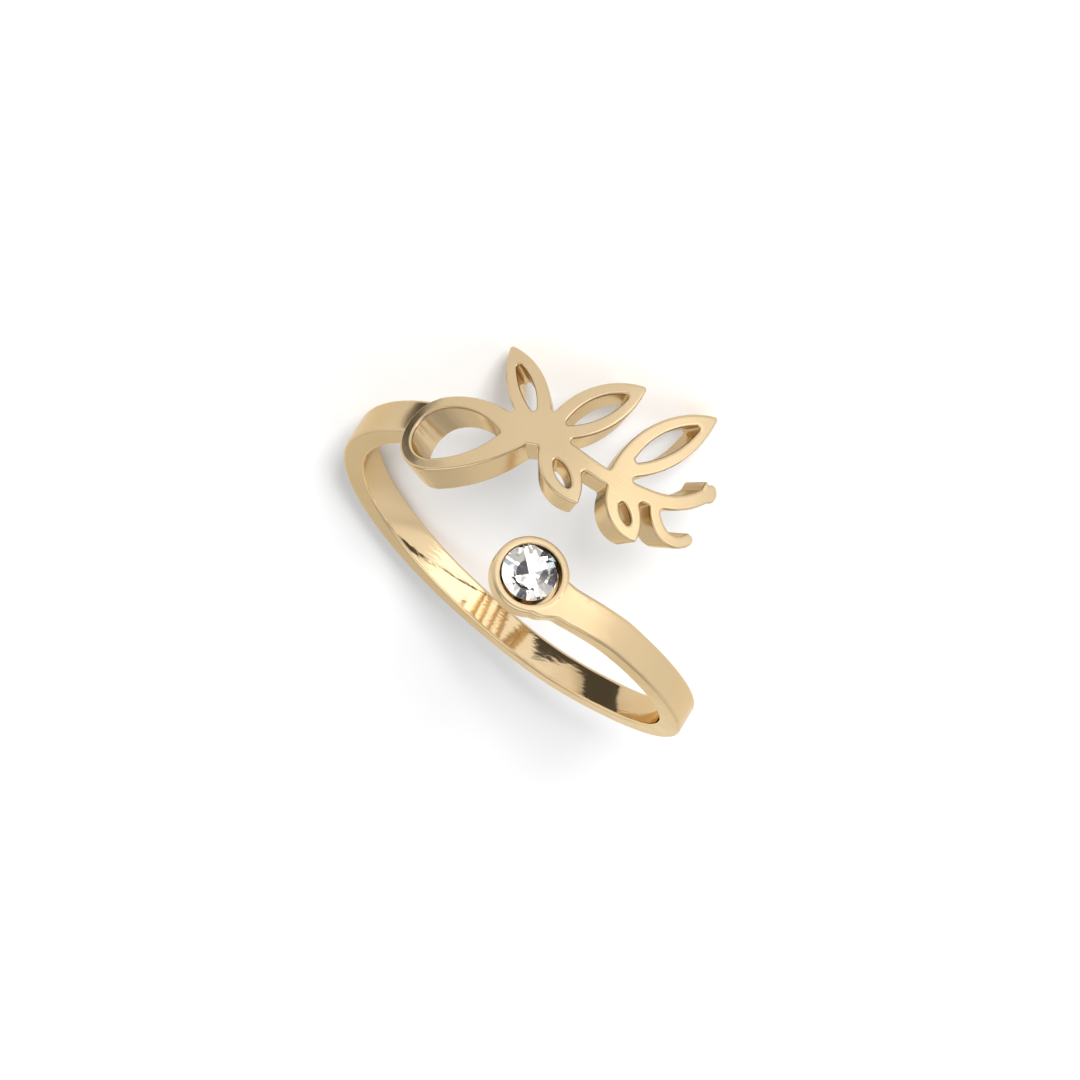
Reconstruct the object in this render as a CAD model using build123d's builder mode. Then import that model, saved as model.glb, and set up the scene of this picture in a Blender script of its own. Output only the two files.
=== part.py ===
from build123d import *
from build123d.topology import SkipClean
from math import atan, atan2, ceil, copysign, cos, degrees, radians, sin, sqrt, tan
import os

# Open finger ring: a flat band wraps the finger, one end carries a small
# stone cup, the other end a pierced leaf sprig that passes above the cup.
# While it is built, +Z is the finger's axis, -Y the front of the ring and +X
# its right. The last section lays the ring down the way it rests by itself.
# All sizes in millimetres, angles in degrees round the ring from the front.

# ---------------------------------------------------------------- main sizes
FINGER_R = 8.50        # inside radius, the ring's finger size
BAND_T = 1.05          # band thickness, measured outwards from the finger
PLATE_T = 1.70         # sprig plate thickness, measured the same way
BAND_ROUND = 0.13      # softened long edges of the band
PLATE_ROUND = 0.10     # softened rims of the sprig plate
BAND_R = FINGER_R + BAND_T
PLATE_R = FINGER_R + PLATE_T
CLEAR = 0.35           # how far cutting walls run past the metal

# Band: angle, height of its centre line, width
BAND_TABLE = [
    # angle, centre, width
    (12, -3.00, 1.66),
    (19, -2.88, 1.64),
    (32, -2.65, 1.60),
    (45, -2.35, 1.56),
    (67, -2.12, 1.48),
    (90, -1.87, 1.44),
    (112, -1.50, 1.44),
    (135, -1.01, 1.45),
    (157, -0.50, 1.47),
    (180, 0.00, 1.49),
    (202, 0.60, 1.50),
    (225, 1.15, 1.51),
    (247, 1.58, 1.51),
    (270, 1.83, 1.52),
    (300, 1.99, 1.58),
    (330, 2.17, 1.67),
    (337, 2.22, 1.68),
    (344, 2.26, 1.69),
]

BAND_SPANS = 8         # the band's sides are laid out in this many lengths
INSIDE_FACES = 7       # and the band's inside in this many arcs

# Sprig, laid out flat: u runs round the ring at the plate's outside, v is
# height along the finger
STROKE = 0.58          # width of the leaf outlines
STEM_W = 0.66
TENDRIL_W = 0.54
SPRIG_ROUND = 0.14     # smallest rounding of the flat outline
FRUIT_R = 0.42
DROP_CENTRE = (-3.12, 1.35)
DROP_R = 1.85
DROP_TIP = (1.05, 2.90)
DROP_HOLE_TIP = (-0.45, 2.42)
STEM_START, STEM_ANGLE = (0.20, 2.50), 27
STEM_ARCS = [
    # radius, turn
    (5.0, -34),
    (9.0, 24),
    (3.6, 45),
]
TENDRIL_START, TENDRIL_ANGLE = (6.90, 3.40), -75
TENDRIL_ARCS = [
    # radius, turn
    (1.5, 60),
    (1.1, 75),
]
LEAF_TABLE = [
    # base u, base v, tip u, tip v, left bulge, right bulge
    (1.42, 2.90, -2.25, 6.30, 0.80, 0.92),
    (1.15, 2.95, 4.05, 7.30, 1.05, 0.95),
    (4.55, 3.00, 7.45, 8.05, 1.05, 0.95),
    (1.30, 3.05, 4.05, 1.20, 0.80, 0.85),
    (4.70, 3.05, 7.10, 1.25, 0.72, 0.80),
]

# Stone cup and stone
CUP_ANGLE, CUP_HEIGHT = 22.0, -2.41
CUP_R = 1.68
CUP_FACE_R = 9.77      # distance of the cup's rim from the finger's axis
CUP_UNDER_R = 8.76     # distance of the cup's underside from the finger's axis
CUP_ROUND, CUP_FOOT = 0.14, 0.07
RISE_START = 9.0       # angle past the cup's middle up to which the band keeps the cup's levels
RISE_END, UNDER_END = 40.0, 34.0     # where its outside and its inside have come down to the plain band
RISE_EASE = 0.6        # how much of the cup's slope the band starts with
RISE_SINK = 0.02
FLARE_UP, FLARE_LOW = 0.15, 0.31     # how far each side of the band widens to meet the cup
FLARE_START, FLARE_END = 6.6, 12.0
SWAY = 0.06            # the band runs this much lower between the cup and the plain part
SWAY_TABLE = (9.0, 15.0, 20.0, 31.0)
WELL_R = 1.34
WELL_FLOOR_R = 9.01
WELL_ROUND = 0.06
STONE_R = 1.22
STONE_TABLE_R = 0.72
STONE_GIRDLE = 0.05
STONE_SHIFT = (-0.064, 0.080)   # the stone sits to one side of its well
STONE_PROUD = 0.12              # table above the rim
CROWN_MAIN, CROWN_GIRDLE = 28.0, 34.0
PAVILION_MAIN = 22.3
STONE_BACK_R = 9.07             # the lowest level the stone may reach

# How the ring lies by itself: this way points up
REST_UP = (0.221, -0.218, -0.951)

# ------------------------------------------------------- flat to ring helpers


def on_ring(u, v, r):
    """Point of the flat layout, carried onto the ring at radius r."""
    a = u / PLATE_R
    return Vector(r * sin(a), -r * cos(a), v)


def ring_way(t, u, r):
    """Direction of the flat layout, carried onto the ring."""
    a = u / PLATE_R
    return Vector(t.X * cos(a) * r / PLATE_R, t.X * sin(a) * r / PLATE_R, t.Y)


def rim_levels(inner_r, outer_r, rim, foot):
    """Radius and inset pairs of a wall whose two rims are rounded."""
    turns = (0, 30, 60)
    levels = [(inner_r - CLEAR, foot * 1.5), (inner_r - foot * 0.134, foot * 1.5)]
    levels += [(inner_r + foot * (1 - sin(radians(t))), foot * (1 - cos(radians(t)))) for t in reversed(turns)]
    levels += [(outer_r - rim * (1 - sin(radians(t))), rim * (1 - cos(radians(t)))) for t in turns]
    levels += [(outer_r + rim * 0.134, rim * 1.5), (outer_r + CLEAR, rim * 1.5)]
    return levels


def ring_strip(edge, levels, step, inward, lift=None):
    """Faces of a wall that stands on one flat edge; inward is +1 or -1."""
    n = max(4, ceil(edge.length / step))
    curves = []
    for r, inset in levels:
        pts, ways = [], []
        for i in range(n + 1):
            p, t = edge @ (i / n), edge % (i / n)
            q = p + Vector(-t.Y, t.X, 0) * (inward * inset)
            outer = r > (FINGER_R + BAND_R) / 2
            r_here = r + (lift(q.X, outer) if lift else 0)
            pts.append(on_ring(q.X, q.Y, r_here))
            if i in (0, n):
                slope = (lift(q.X + 0.01, outer) - lift(q.X - 0.01, outer)) / 0.02 if lift else 0
                ways.append(ring_way(t, q.X, r_here) + on_ring(q.X, 0, 1) * (slope * t.X))
        curves.append(Edge.make_spline(pts, tangents=ways))
    return [Face.make_surface_from_curves(low, high) for low, high in zip(curves, curves[1:])]


def ease(value, low, high):
    """Smooth step from 0 to 1."""
    t = min(1, max(0, (value - low) / (high - low)))
    return t * t * (3 - 2 * t)


def band_rise(u, outer):
    """How far the band's outside or inside is bent out beside the cup, to flow into it."""
    turn = degrees(u / PLATE_R) - CUP_ANGLE
    plain, cup_level, end = FINGER_R, CUP_UNDER_R + RISE_SINK, UNDER_END
    if outer:
        plain, cup_level, end = BAND_R, CUP_FACE_R - RISE_SINK, RISE_END
    if turn < RISE_START:
        return cup_level / cos(radians(turn)) - plain
    t = min(1, (turn - RISE_START) / (end - RISE_START))
    start = cup_level / cos(radians(RISE_START))
    slope = RISE_EASE * start * tan(radians(RISE_START)) * radians(end - RISE_START)
    return (start - plain) * (2 * t - 3) * t * t + (start - plain) + slope * t * (1 - t) ** 2


def side_shift(u, sign):
    """How far a side of the band is moved along the finger beside the cup."""
    turn = degrees(u / PLATE_R) - CUP_ANGLE
    flare = (FLARE_UP if sign > 0 else FLARE_LOW) * (1 - ease(turn, FLARE_START, FLARE_END))
    a, b, c, d = SWAY_TABLE
    return sign * flare - SWAY * ease(turn, a, b) * (1 - ease(turn, c, d))


def ring_wall(face, levels, step, side=1):
    """Shell of ruled walls that stands on a flat outline, through the ring."""
    walls = []
    for edge in face.outer_wire().edges():
        t = edge % 0.5
        left = face.is_inside(edge @ 0.5 + Vector(-t.Y, t.X, 0) * 0.004)
        walls += ring_strip(edge, levels, step, side if left else -side)
    return Shell(walls)


def pieces(solid, shell):
    """The solids that a wall cuts a solid into, smallest first."""
    found = [s for part in solid.split(shell, Keep.ALL) for s in part.solids()]
    return sorted(found, key=lambda s: s.volume)


def tube(outer_r, low, high, seam):
    """Plain tube round the finger, with its seam at the given angle."""
    plane = Plane(origin=(0, 0, low), x_dir=(sin(radians(seam)), -cos(radians(seam)), 0), z_dir=(0, 0, 1))
    with BuildPart() as blank:
        with BuildSketch(plane):
            Circle(outer_r)
            Circle(FINGER_R, mode=Mode.SUBTRACT)
        extrude(amount=high - low)
    return blank.part.solid()


def band_blank(low, high, first, last):
    """Part of a tube between two angles, bent out beside the cup."""
    def at(a, r):
        return Vector(r * sin(radians(a)), -r * cos(radians(a)))

    def rise(end, r, outer):
        turns = [first + (CUP_ANGLE + end - first) * i / 16 for i in range(17)]
        return [at(a, r + band_rise(radians(a) * PLATE_R, outer)) for a in turns]
    top, under = rise(RISE_END, BAND_R, True), rise(UNDER_END, FINGER_R, False)
    top_end, under_end = CUP_ANGLE + RISE_END, CUP_ANGLE + UNDER_END
    with BuildPart() as blank:
        with BuildSketch(Plane.XY.offset(low)):
            with BuildLine():
                Spline(*top, tangents=[top[1] - top[0], at(top_end + 90, 1)])
                ThreePointArc(top[-1], at((top_end + last) / 2, BAND_R), at(last, BAND_R))
                Line(at(last, BAND_R), at(last, FINGER_R))
                turns = [last + (under_end - last) * i / INSIDE_FACES for i in range(INSIDE_FACES + 1)]
                for a, b in zip(turns, turns[1:]):
                    ThreePointArc(at(a, FINGER_R), at((a + b) / 2, FINGER_R), at(b, FINGER_R))
                Spline(*under, tangents=[under[1] - under[0], at(under_end + 90, 1)])
                Line(under[0], top[0])
            make_face()
        extrude(amount=high - low, clean=False)
    return blank.part.solid()


# ---------------------------------------------------------- flat outlines


def leaf(base, tip, left, right):
    """Leaf of two arcs that meet at its base and its tip."""
    way = (tip - base).normalized()
    side = Vector(-way.Y, way.X, 0)
    middle = (base + tip) * 0.5
    with BuildLine() as line:
        ThreePointArc(base, middle + side * left, tip)
        ThreePointArc(tip, middle - side * right, base)
    return line.edges()


def drop(centre, radius, tip, spread=92):
    """Round drop drawn out to a tip by two arcs tangent to its round end."""
    way = (tip - centre).normalized()
    a = degrees(atan2(way.Y, way.X))
    up, low = radians(a + spread), radians(a - spread)
    p_up = centre + Vector(cos(up), sin(up), 0) * radius
    p_low = centre + Vector(cos(low), sin(low), 0) * radius
    with BuildLine() as line:
        ThreePointArc(p_up, centre - way * radius, p_low)
        TangentArc(p_low, tip, tangent=(-sin(low), cos(low), 0))
        TangentArc(p_up, tip, tangent=(sin(up), -cos(up), 0))
    return line.edges()


def stroke(start, angle, width, arcs, round_end=False):
    """Strip of constant width along a chain of tangent arcs, and its end."""
    way = Vector(cos(radians(angle)), sin(radians(angle)), 0)
    side = Vector(-way.Y, way.X, 0) * (width / 2)
    with BuildLine() as line:
        ends = []
        for sign in (1, -1):
            p, t = start + side * sign, way
            for radius, turn in arcs:
                arc = JernArc(p, t, radius - sign * copysign(width / 2, turn), turn)
                p, t = arc @ 1, arc % 1
            ends.append(p)
        end = (ends[0] + ends[1]) * 0.5
        if round_end:
            ThreePointArc(ends[0], end + t * (width / 2), ends[1])
        else:
            Line(ends[0], ends[1])
        ThreePointArc(start + side, start - way * (width / 2), start - side)
    return line.edges(), end


def leaf_hole(row):
    """Opening of a leaf: the same shape, smaller by the outline's width."""
    bu, bv, tu, tv, left, right = row
    base, tip = Vector(bu, bv), Vector(tu, tv)
    way, length = (tip - base).normalized(), (tip - base).length
    draw_in = STROKE / sin(2 * atan((left + right) / length))
    return leaf(base + way * (draw_in + 0.30), tip - way * (draw_in * 0.92), left - STROKE + 0.03, right - STROKE + 0.03)


with BuildSketch() as sprig_outline:
    make_face(drop(Vector(*DROP_CENTRE), DROP_R, Vector(*DROP_TIP)))
    for bu, bv, tu, tv, left, right in LEAF_TABLE:
        make_face(leaf(Vector(bu, bv), Vector(tu, tv), left, right))
    stem, stem_end = stroke(Vector(*STEM_START), STEM_ANGLE, STEM_W, STEM_ARCS)
    make_face(stem)
    with Locations(stem_end):
        Circle(FRUIT_R)
    make_face(stroke(Vector(*TENDRIL_START), TENDRIL_ANGLE, TENDRIL_W, TENDRIL_ARCS, round_end=True)[0])
    # round every corner: outward ones and then inward ones
    offset(amount=SPRIG_ROUND, kind=Kind.ARC, mode=Mode.REPLACE)
    offset(amount=-2 * SPRIG_ROUND, kind=Kind.ARC, mode=Mode.REPLACE)
    offset(amount=SPRIG_ROUND, kind=Kind.ARC, mode=Mode.REPLACE)

with BuildSketch() as sprig_holes:
    make_face(drop(Vector(*DROP_CENTRE), DROP_R - STROKE, Vector(*DROP_HOLE_TIP)))
    for row in LEAF_TABLE:
        make_face(leaf_hole(row))
    offset(amount=-SPRIG_ROUND, kind=Kind.ARC, mode=Mode.REPLACE)
    offset(amount=SPRIG_ROUND, kind=Kind.ARC, mode=Mode.REPLACE)

# ------------------------------------------------------------------ the metal
sprig_wall = ring_wall(sprig_outline.sketch.faces()[0], rim_levels(FINGER_R, PLATE_R, PLATE_ROUND, PLATE_ROUND * 0.8), 0.35)
sprig_plate = pieces(tube(PLATE_R, -2, 10, 180), sprig_wall)[0]

SkipClean.clean = False     # the inside of the band and of the plate stay faces of their own
band_levels = rim_levels(FINGER_R, BAND_R, BAND_ROUND, BAND_ROUND * 0.8)
band = band_blank(-6, 8, BAND_TABLE[1][0], BAND_TABLE[-2][0])
for sign in (1, -1):
    with BuildLine() as band_side:
        Spline(*[(radians(a) * PLATE_R, c + sign * w / 2) for a, c, w in BAND_TABLE])
    side = band_side.edges()[0]
    strips = []
    for i in range(BAND_SPANS):
        count, step = ((32, 0.25), (16, 0.5))[i] if i < 2 else (5, 1.2)
        knots = [side @ ((i + k / count) / BAND_SPANS) for k in range(count + 1)]
        knots = [q + Vector(0, side_shift(q.X, sign), 0) for q in knots]
        span = Edge.make_spline(knots, tangents=[side % (i / BAND_SPANS), side % ((i + 1) / BAND_SPANS)])
        strips += ring_strip(span, band_levels, step, -sign, band_rise)
    band = sorted(pieces(band, Shell(strips)), key=lambda s: s.center().Z * sign)[0]

cup_way = Vector(sin(radians(CUP_ANGLE)), -cos(radians(CUP_ANGLE)), 0)
cup_side = Vector(cos(radians(CUP_ANGLE)), sin(radians(CUP_ANGLE)), 0)
cup_plane = Plane(origin=(0, 0, CUP_HEIGHT), x_dir=cup_side, z_dir=cup_way)

with BuildPart() as cup:
    with BuildSketch(cup_plane.offset(CUP_UNDER_R)):
        Circle(CUP_R)
    extrude(amount=CUP_FACE_R - CUP_UNDER_R)
    for level, rounding in ((CUP_FACE_R, CUP_ROUND), (CUP_UNDER_R, CUP_FOOT)):
        fillet(cup.faces().sort_by_distance(cup_way * level + Vector(0, 0, CUP_HEIGHT))[0].edges(), rounding)

with BuildPart() as ring_body:
    add(band, clean=False)
    add(sprig_plate, clean=False)
    add(cup.part, clean=False)

metal = ring_body.part.solid()
for hole in sprig_holes.sketch.faces():
    hole_wall = ring_wall(hole, rim_levels(FINGER_R, PLATE_R, PLATE_ROUND, PLATE_ROUND * 0.8), 0.30, side=-1)
    metal = pieces(metal, hole_wall)[-1]

with BuildPart() as ring_body:
    add(metal, clean=False)
    # the well: straight wall, rounded mouth
    with BuildSketch(Plane(origin=cup_plane.origin, x_dir=cup_side, z_dir=cup_side.cross(cup_way))):
        with BuildLine():
            Polyline((WELL_R, CUP_FACE_R - WELL_ROUND), (WELL_R, WELL_FLOOR_R), (0, WELL_FLOOR_R),
                     (0, CUP_FACE_R + 1), (WELL_R + WELL_ROUND, CUP_FACE_R + 1), (WELL_R + WELL_ROUND, CUP_FACE_R))
            ThreePointArc((WELL_R + WELL_ROUND, CUP_FACE_R),
                          (WELL_R + WELL_ROUND * (1 - sqrt(0.5)), CUP_FACE_R - WELL_ROUND * (1 - sqrt(0.5))),
                          (WELL_R, CUP_FACE_R - WELL_ROUND))
        make_face()
    revolve(axis=Axis(cup_plane.origin, cup_way), mode=Mode.SUBTRACT, clean=False)

SkipClean.clean = True

# ------------------------------------------------------------------ the stone
crown_h = (STONE_R - STONE_TABLE_R) * tan(radians(CROWN_MAIN))
table_level = CUP_FACE_R + STONE_PROUD
girdle_top = table_level - crown_h
girdle_low = girdle_top - STONE_GIRDLE
stone_plane = Plane(origin=cup_plane.origin + cup_side * STONE_SHIFT[0] + Vector(0, 0, STONE_SHIFT[1]),
                    x_dir=cup_side, z_dir=cup_way)
# ring of facets: first azimuth, count, slope, distance from the axis at level, level, up or down
FACET_RINGS = [
    (0.0, 8, CROWN_MAIN, STONE_R, girdle_top, 1),
    (22.5, 8, CROWN_GIRDLE, STONE_R * 0.985, girdle_top, 1),
    (22.5, 8, PAVILION_MAIN, STONE_R, girdle_low, -1),
]
with BuildPart() as stone:
    with BuildSketch(stone_plane.offset(STONE_BACK_R)):
        Circle(STONE_R)
    extrude(amount=table_level - STONE_BACK_R)
    for first, count, slope, reach, level, up in FACET_RINGS:
        for i in range(count):
            a = radians(first + i * 360 / count)
            spot = stone_plane.from_local_coords(Vector(reach * cos(a), reach * sin(a), level))
            tip = stone_plane.from_local_coords(Vector(
                reach * cos(a) + sin(radians(slope)) * cos(a),
                reach * sin(a) + sin(radians(slope)) * sin(a),
                level + up * cos(radians(slope))))
            split(bisect_by=Plane(origin=spot, z_dir=tip - spot), keep=Keep.BOTTOM)

# ------------------------------------------------------- lay the ring to rest
# The ring lies on its side: a tip of the sprig in front and the band's far edge
# behind touch the surface. REST_UP is the way that then points up. Left and
# right change sides, and the front stays in front.
rest_up = Vector(*REST_UP).normalized()
rest_back = (Vector(0, 1, 0) - rest_up * rest_up.Y).normalized()
turned = Plane(origin=(0, 0, 0), x_dir=rest_back.cross(rest_up), z_dir=rest_up)
laid = [turned.location.inverse() * piece for piece in (ring_body.part, stone.part)]
spots = [turned.to_local_coords(p) for p in ring_body.part.tessellate(0.01, 0.2)[0]]
reach = [(min(c), max(c)) for c in zip(*[(p.X, p.Y, p.Z) for p in spots])]
shift = Location((-sum(reach[0]) / 2, -sum(reach[1]) / 2, -reach[2][0]))

os.makedirs("parts", exist_ok=True)
for name, piece in zip(("ring_body", "stone"), laid):
    placed = shift * piece
    placed.label = name
    export_step(placed, f"parts/{name}.step")
    print(name, round(placed.volume, 3), placed.is_valid)

finger_axis = turned.to_local_coords(Vector(0, 0, 1)) - turned.to_local_coords(Vector(0, 0, 0))
finger_centre = turned.to_local_coords(Vector(0, 0, 0)) + shift.position
print("finger axis", [round(c, 6) for c in finger_axis], "centre", [round(c, 5) for c in finger_centre])
print("extents", [round(b - a, 3) for a, b in reach], "shift", [round(c, 5) for c in shift.position])
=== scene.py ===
import math

import bpy
from mathutils import Matrix, Vector

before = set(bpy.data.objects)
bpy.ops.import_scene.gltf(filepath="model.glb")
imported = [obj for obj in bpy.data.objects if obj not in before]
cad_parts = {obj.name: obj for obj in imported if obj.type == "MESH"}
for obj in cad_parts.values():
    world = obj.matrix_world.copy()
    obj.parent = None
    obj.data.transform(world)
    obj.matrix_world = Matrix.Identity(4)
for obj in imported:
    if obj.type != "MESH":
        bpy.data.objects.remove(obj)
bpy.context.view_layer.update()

# ---------------------------------------------------------------- named sizes
# metres, in the part's frame: +Z up from the floor, -Y the front
FINGER_AXIS = Vector((0.226355, 0.21226, 0.950636))
FINGER_CENTRE = Vector((-0.00000892, 0.00087165, 0.00494429))
RING_RIGHT = Vector((-0.9740448, 0.04932657, 0.22091541))
RING_FRONT = Vector((0.0, -0.9759674, 0.21791655))
INSIDE_R = 0.0085
CUP_WAY = Vector((-0.3649, -0.8864, 0.2848))     # out of the cup's mouth
CUP_SIDE = Vector((-0.9031, 0.4113, 0.1232))     # from the cup along the band
STONE_AXIS_AT = Vector((0.0005762, 0.0013396, 0.0071507))   # where the stone's own axis passes the finger's axis
CUP_AXIS_AT = Vector((0.00053658, 0.0013832, 0.00723532))    # where the cup's axis passes the finger's axis
WELL_R, RIM_LEVEL = 0.00134, 0.00977
GIRDLE_LEVEL = 0.00957                           # the stone's widest level, from the finger's axis

# camera, at the photograph's angle to the ring
CAMERA_AT = Vector((-0.0625103, -0.1990062, 0.1412992))
CAMERA_RIGHT = Vector((-0.94696487, 0.07846883, -0.31160902))
CAMERA_DOWN = Vector((-0.20465508, 0.60034229, 0.77311412))
CAMERA_LENS = 189.02

GOLD = (0.765, 0.588, 0.362, 1.0)
WELL_PAINTED_SHADE = (0.66, 0.48, 0.27, 1.0)               # painted shade: the metal in the stone's well is coloured darker


# ------------------------------------------------------------------ node help
def material(name):
    m = bpy.data.materials.new(name)
    m.use_nodes = True
    nt = m.node_tree
    nt.nodes.clear()
    out = nt.nodes.new("ShaderNodeOutputMaterial")
    return m, nt, out


def math_node(nt, op, a, b=None, clamp=False):
    n = nt.nodes.new("ShaderNodeMath")
    n.operation = op
    n.use_clamp = clamp
    for i, v in enumerate((a, b)):
        if v is None:
            continue
        if isinstance(v, (int, float)):
            n.inputs[i].default_value = v
        else:
            nt.links.new(v, n.inputs[i])
    return n.outputs[0]


def vec_node(nt, op, a, b=None):
    n = nt.nodes.new("ShaderNodeVectorMath")
    n.operation = op
    for i, v in enumerate((a, b)):
        if v is None:
            continue
        if isinstance(v, (tuple, Vector)):
            n.inputs[i].default_value = tuple(v)
        else:
            nt.links.new(v, n.inputs[i])
    return n.outputs["Value"] if op in ("DOT_PRODUCT", "LENGTH") else n.outputs["Vector"]


def ramp(nt, value, low, high, to_low=0.0, to_high=1.0, smooth=True):
    n = nt.nodes.new("ShaderNodeMapRange")
    n.interpolation_type = "SMOOTHSTEP" if smooth else "LINEAR"
    n.inputs["From Min"].default_value = low
    n.inputs["From Max"].default_value = high
    n.inputs["To Min"].default_value = to_low
    n.inputs["To Max"].default_value = to_high
    nt.links.new(value, n.inputs["Value"])
    return n.outputs["Result"]


def combine(nt, *parts):
    n = nt.nodes.new("ShaderNodeCombineXYZ")
    for i, v in enumerate(parts):
        nt.links.new(v, n.inputs[i])
    return n.outputs["Vector"]


def noise(nt, vector, scale, detail=2.0):
    n = nt.nodes.new("ShaderNodeTexNoise")
    n.inputs["Scale"].default_value = scale
    n.inputs["Detail"].default_value = detail
    nt.links.new(vector, n.inputs["Vector"])
    return n.outputs["Fac"]


def bump(nt, height, distance, normal=None):
    n = nt.nodes.new("ShaderNodeBump")
    n.inputs["Strength"].default_value = 1.0
    n.inputs["Distance"].default_value = distance
    nt.links.new(height, n.inputs["Height"])
    if normal is not None:
        nt.links.new(normal, n.inputs["Normal"])
    return n.outputs["Normal"]


def ring_places(nt):
    """Place, distance from the finger's axis, height along it and turn round it, from object coordinates."""
    place = nt.nodes.new("ShaderNodeTexCoord").outputs["Object"]
    rel = vec_node(nt, "SUBTRACT", place, FINGER_CENTRE)
    height = vec_node(nt, "DOT_PRODUCT", rel, FINGER_AXIS)
    away = vec_node(nt, "CROSS_PRODUCT", rel, FINGER_AXIS)
    turn = math_node(nt, "ARCTAN2", vec_node(nt, "DOT_PRODUCT", rel, RING_RIGHT), vec_node(nt, "DOT_PRODUCT", rel, RING_FRONT))
    return place, vec_node(nt, "LENGTH", away), height, turn


# ------------------------------------------------------------------- the gold
gold, nt, out = material("gold_plate")
place, radius, height, turn = ring_places(nt)
bsdf = nt.nodes.new("ShaderNodeBsdfPrincipled")
bsdf.inputs["Metallic"].default_value = 1.0
bsdf.inputs["Specular Tint"].default_value = (0.95, 0.84, 0.64, 1.0)     # the plating keeps its colour at a shallow angle
inside = ramp(nt, radius, INSIDE_R + 0.00002, INSIDE_R + 0.00008, 1.0, 0.0)

# the plating's tone drifts a little from place to place
tone = nt.nodes.new("ShaderNodeMix")
tone.data_type = "RGBA"
tone.inputs["A"].default_value = GOLD
tone.inputs["B"].default_value = tuple(c * k for c, k in zip(GOLD, (0.965, 0.945, 0.90))) + (1.0,)
nt.links.new(ramp(nt, noise(nt, place, 260.0), 0.38, 0.66), tone.inputs["Factor"])
# painted shade in the stone's well: its wall and floor below the rim take the darker well colour
from_cup = vec_node(nt, "SUBTRACT", place, CUP_AXIS_AT)
cup_level = vec_node(nt, "DOT_PRODUCT", from_cup, CUP_WAY)
cup_out = vec_node(nt, "LENGTH", vec_node(nt, "CROSS_PRODUCT", from_cup, CUP_WAY))
well_shade_mask = math_node(nt, "MULTIPLY", ramp(nt, cup_out, WELL_R + 0.00003, WELL_R + 0.00007, 1.0, 0.0),
                   ramp(nt, cup_level, RIM_LEVEL - 0.00005, RIM_LEVEL - 0.00001, 1.0, 0.0))
well_shade_mask = math_node(nt, "MULTIPLY", well_shade_mask, ramp(nt, cup_level, 0.0088, 0.0089))
well_shade_mix = nt.nodes.new("ShaderNodeMix")
well_shade_mix.data_type = "RGBA"
well_shade_mix.inputs["B"].default_value = WELL_PAINTED_SHADE
nt.links.new(well_shade_mask, well_shade_mix.inputs["Factor"])
# painted shade: the satin outside's colour is darkened to 0.83 of the polished inside's
outside_painted_shade = vec_node(nt, "SCALE", tone.outputs["Result"])
nt.links.new(ramp(nt, inside, 0.0, 1.0, 0.83, 1.0), outside_painted_shade.node.inputs["Scale"])
nt.links.new(outside_painted_shade, well_shade_mix.inputs["A"])
nt.links.new(well_shade_mix.outputs["Result"], bsdf.inputs["Base Color"])

# polish: mirror bright inside, satin outside with a fine grain
satin = ramp(nt, noise(nt, place, 900.0, 3.0), 0.3, 0.7, 0.17, 0.23)
rough = math_node(nt, "MULTIPLY", satin, ramp(nt, inside, 0.0, 1.0, 1.0, 0.30))
nt.links.new(rough, bsdf.inputs["Roughness"])

# polishing lines run round the ring, short and deeper inside, long and faint outside
inner_lines = combine(nt, math_node(nt, "MULTIPLY", turn, 22.0), math_node(nt, "MULTIPLY", height, 8000.0), math_node(nt, "MULTIPLY", radius, 1500.0))
outer_lines = combine(nt, math_node(nt, "MULTIPLY", turn, 9.0), math_node(nt, "MULTIPLY", height, 16000.0), math_node(nt, "MULTIPLY", radius, 16000.0))
lines = nt.nodes.new("ShaderNodeMix")
nt.links.new(inside, lines.inputs["Factor"])
nt.links.new(math_node(nt, "MULTIPLY", noise(nt, outer_lines, 1.0, 1.0), 0.10), lines.inputs["A"])
nt.links.new(math_node(nt, "MULTIPLY", noise(nt, inner_lines, 1.0, 2.0), 0.20), lines.inputs["B"])
bevel = nt.nodes.new("ShaderNodeBevel")
bevel.samples = 8
bevel.inputs["Radius"].default_value = 0.00006
nt.links.new(bump(nt, lines.outputs["Result"], 0.000009, bevel.outputs["Normal"]), bsdf.inputs["Normal"])
nt.links.new(bsdf.outputs["BSDF"], out.inputs["Surface"])

# ------------------------------------------------------------------ the stone
# clear crown over a silvered back, as foil-backed crystals are made
crystal, nt, out = material("crystal")
place = nt.nodes.new("ShaderNodeTexCoord").outputs["Object"]
depth = vec_node(nt, "DOT_PRODUCT", vec_node(nt, "SUBTRACT", place, FINGER_CENTRE), CUP_WAY)
backed = math_node(nt, "LESS_THAN", depth, GIRDLE_LEVEL)
glass = nt.nodes.new("ShaderNodeBsdfGlass")
glass.inputs["Color"].default_value = (1.0, 0.995, 0.985, 1.0)
glass.inputs["Roughness"].default_value = 0.0
glass.inputs["IOR"].default_value = 1.56

# painted reflections: some facets of the silver back are painted grey or dark as mirrored dark surroundings, and
# one blue as a painted glint of coloured fire
spot = vec_node(nt, "SUBTRACT", place, STONE_AXIS_AT)
along = vec_node(nt, "DOT_PRODUCT", spot, CUP_SIDE)
up_axis = vec_node(nt, "DOT_PRODUCT", spot, -FINGER_AXIS)
facet = math_node(nt, "DIVIDE", math_node(nt, "ARCTAN2", up_axis, along), 2 * math.pi)
facet = math_node(nt, "FRACT", math_node(nt, "ADD", facet, 1.0))
out_from = math_node(nt, "SQRT", math_node(nt, "ADD", math_node(nt, "MULTIPLY", along, along), math_node(nt, "MULTIPLY", up_axis, up_axis)))


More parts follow.
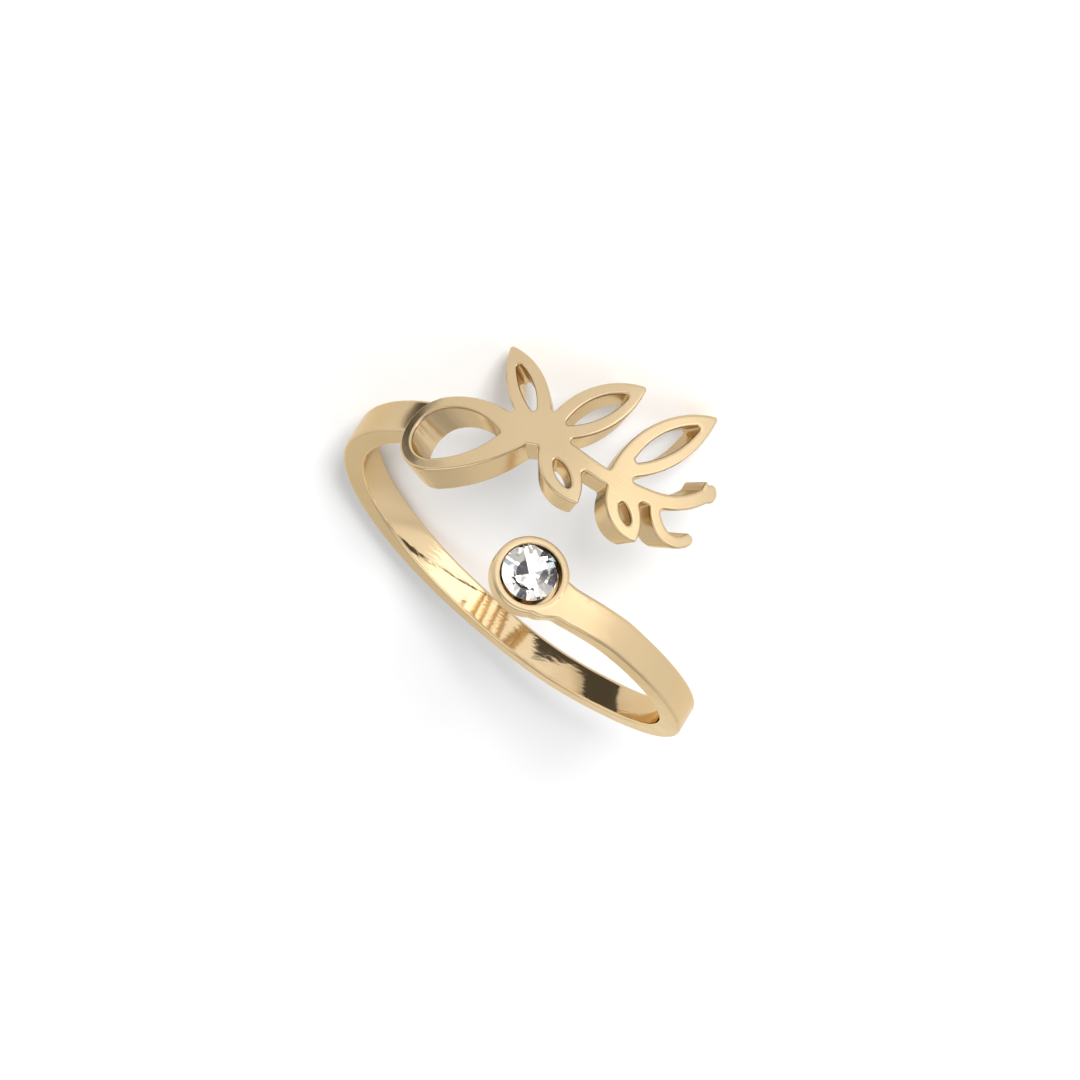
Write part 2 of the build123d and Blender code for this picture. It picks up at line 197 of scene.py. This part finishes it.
def painted_reflection_tones(values):
    n = nt.nodes.new("ShaderNodeValToRGB")
    n.color_ramp.interpolation = "CONSTANT"
    stops = n.color_ramp.elements
    while len(stops) < len(values):
        stops.new(0.5)
    for i, v in enumerate(values):
        stops[i].position = i / len(values)
        stops[i].color = v
    nt.links.new(facet, n.inputs["Fac"])
    return n.outputs["Color"]


# the facet colours: white silver, with painted reflections in grey and dark and a painted blue glint
WHITE, GREY_PAINTED_REFLECTION, DARK_PAINTED_REFLECTION, BLUE_PAINTED_GLINT = (1.0, 0.985, 0.96, 1.0), (0.62, 0.60, 0.62, 1.0), (0.09, 0.085, 0.095, 1.0), (0.80, 0.90, 1.0, 1.0)
rim_painted_reflections = painted_reflection_tones((WHITE, GREY_PAINTED_REFLECTION, BLUE_PAINTED_GLINT, GREY_PAINTED_REFLECTION, WHITE, WHITE, WHITE, WHITE, WHITE, WHITE, WHITE, WHITE, DARK_PAINTED_REFLECTION, WHITE, WHITE, GREY_PAINTED_REFLECTION))
core_painted_reflections = painted_reflection_tones((WHITE, WHITE, WHITE, DARK_PAINTED_REFLECTION, DARK_PAINTED_REFLECTION, WHITE, WHITE, WHITE))
mix = nt.nodes.new("ShaderNodeMix")
mix.data_type = "RGBA"
nt.links.new(math_node(nt, "GREATER_THAN", out_from, 0.00058), mix.inputs["Factor"])
nt.links.new(core_painted_reflections, mix.inputs["A"])
nt.links.new(rim_painted_reflections, mix.inputs["B"])
foil = nt.nodes.new("ShaderNodeBsdfGlossy")
foil.inputs["Roughness"].default_value = 0.04
nt.links.new(mix.outputs["Result"], foil.inputs["Color"])
blend = nt.nodes.new("ShaderNodeMixShader")
nt.links.new(backed, blend.inputs["Fac"])
nt.links.new(glass.outputs["BSDF"], blend.inputs[1])
nt.links.new(foil.outputs["BSDF"], blend.inputs[2])
nt.links.new(blend.outputs["Shader"], out.inputs["Surface"])

for node, made in (("ring_body", gold), ("stone", crystal)):
    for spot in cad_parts[node].material_slots:
        spot.material = made

# -------------------------------------------------------------- floor, lights
paper, nt, out = material("paper")
bsdf = nt.nodes.new("ShaderNodeBsdfPrincipled")
bsdf.inputs["Base Color"].default_value = (0.93, 0.93, 0.93, 1.0)
bsdf.inputs["Roughness"].default_value = 0.9
bsdf.inputs["Specular IOR Level"].default_value = 0.0
nt.links.new(bsdf.outputs["BSDF"], out.inputs["Surface"])
half = 1.5
mesh = bpy.data.meshes.new("floor")
mesh.from_pydata([(-half, -half, 0), (half, -half, 0), (half, half, 0), (-half, half, 0)], [], [(0, 1, 2, 3)])
floor = bpy.data.objects.new("floor", mesh)
bpy.context.scene.collection.objects.link(floor)
mesh.materials.append(paper)

# flags that only the polished metal sees: low cards that darken what it mirrors there
flag, nt, out = material("flag")
glow = nt.nodes.new("ShaderNodeEmission")
glow.inputs["Color"].default_value = (1.0, 0.92, 0.82, 1.0)
glow.inputs["Strength"].default_value = 0.09
nt.links.new(glow.outputs["Emission"], out.inputs["Surface"])
FLAGS = {
    # height, outline in millimetres
    "flag_inside": (1.35, [
        (0.5, -1.0), (1.2, -1.8), (1.9, -4.2), (2.9, -6.6), (3.2, -1.8), (2.95, 0.75), (2.80, 1.6), (2.72, 2.4),
        (2.9, 2.75), (3.3, 2.75), (3.8, 2.6), (4.4, 2.5), (5.4, 2.7), (4.9, 4.8), (4.5, 6.0), (3.9, 6.9),
        (3.43, 6.64), (2.89, 6.32), (2.01, 6.20), (1.0, 6.2), (0.4, 5.0), (0.3, 2.0)]),
    "flag_joint": (0.02, [
        (8.2, -8.6), (11, -8.0), (13.5, -9.8), (16.5, -13), (18.5, -19), (18, -29), (15.8, -29), (15.8, -20),
        (13.8, -15.5), (11, -12.5), (8.4, -13)]),
}
for name, (lift, outline) in FLAGS.items():
    mesh = bpy.data.meshes.new(name)
    mesh.from_pydata([(x / 1000, y / 1000, lift / 1000) for x, y in outline], [], [tuple(range(len(outline)))])
    card = bpy.data.objects.new(name, mesh)
    bpy.context.scene.collection.objects.link(card)
    mesh.materials.append(flag)
    card.visible_camera = card.visible_diffuse = card.visible_shadow = card.visible_transmission = False

# soft studio: a bright band along the horizon, brightest to the front left, dim overhead
world = bpy.data.worlds.new("studio")
world.use_nodes = True
nt = world.node_tree
back = nt.nodes["Background"]
way = nt.nodes.new("ShaderNodeTexCoord").outputs["Generated"]
level = vec_node(nt, "DOT_PRODUCT", way, Vector((0, 0, 1)))
left = vec_node(nt, "DOT_PRODUCT", way, Vector((-0.82, -0.57, 0.05)).normalized())
behind = vec_node(nt, "DOT_PRODUCT", way, Vector((0.5, 0.86, 0.1)).normalized())
tone = math_node(nt, "ADD", ramp(nt, level, 0.28, 0.66, 1.02, 0.56), ramp(nt, left, 0.76, 0.99, 0.0, 1.1))
tone = math_node(nt, "ADD", tone, ramp(nt, behind, 0.70, 0.97, 0.0, -0.14))
back.inputs["Color"].default_value = (1.0, 1.0, 1.0, 1.0)
nt.links.new(tone, back.inputs["Strength"])
bpy.context.scene.world = world


def softbox(name, at, size, power, aim=Vector((0, 0, 0.004))):
    data = bpy.data.lights.new(name, "AREA")
    data.shape = "RECTANGLE"
    data.size, data.size_y = size
    data.energy = power
    lamp = bpy.data.objects.new(name, data)
    bpy.context.scene.collection.objects.link(lamp)
    at = Vector(at)
    lamp.location = at
    lamp.rotation_euler = (aim - at).to_track_quat("-Z", "Y").to_euler()
    return lamp


key = softbox("key", (-0.74, -1.68, 0.76), (0.42, 0.42), 49.0)
spill = softbox("spill", (-0.33, -0.07, 0.15), (0.12, 0.12), 0.36, aim=Vector((-0.33, -0.07, 0.0)))
key.visible_glossy = spill.visible_glossy = False
# a panel overhead that only the stone and the rims mirror
panel = softbox("panel", (0.0, 0.05, 1.0), (1.25, 1.25), 4.1)
panel.visible_diffuse = False

# --------------------------------------------------------------------- camera
data = bpy.data.cameras.new("camera")
data.lens = CAMERA_LENS
data.sensor_width = 36.0
data.clip_start = 0.01
data.clip_end = 10.0
camera = bpy.data.objects.new("camera", data)
bpy.context.scene.collection.objects.link(camera)
right = CAMERA_RIGHT.normalized()
up = -(CAMERA_DOWN - right * CAMERA_DOWN.dot(right)).normalized()
toward = right.cross(up)
camera.matrix_world = Matrix((
    (right.x, up.x, toward.x, CAMERA_AT.x),
    (right.y, up.y, toward.y, CAMERA_AT.y),
    (right.z, up.z, toward.z, CAMERA_AT.z),
    (0, 0, 0, 1),
))
scene = bpy.context.scene
scene.camera = camera
scene.view_settings.view_transform = "Standard"
scene.view_settings.look = "None"
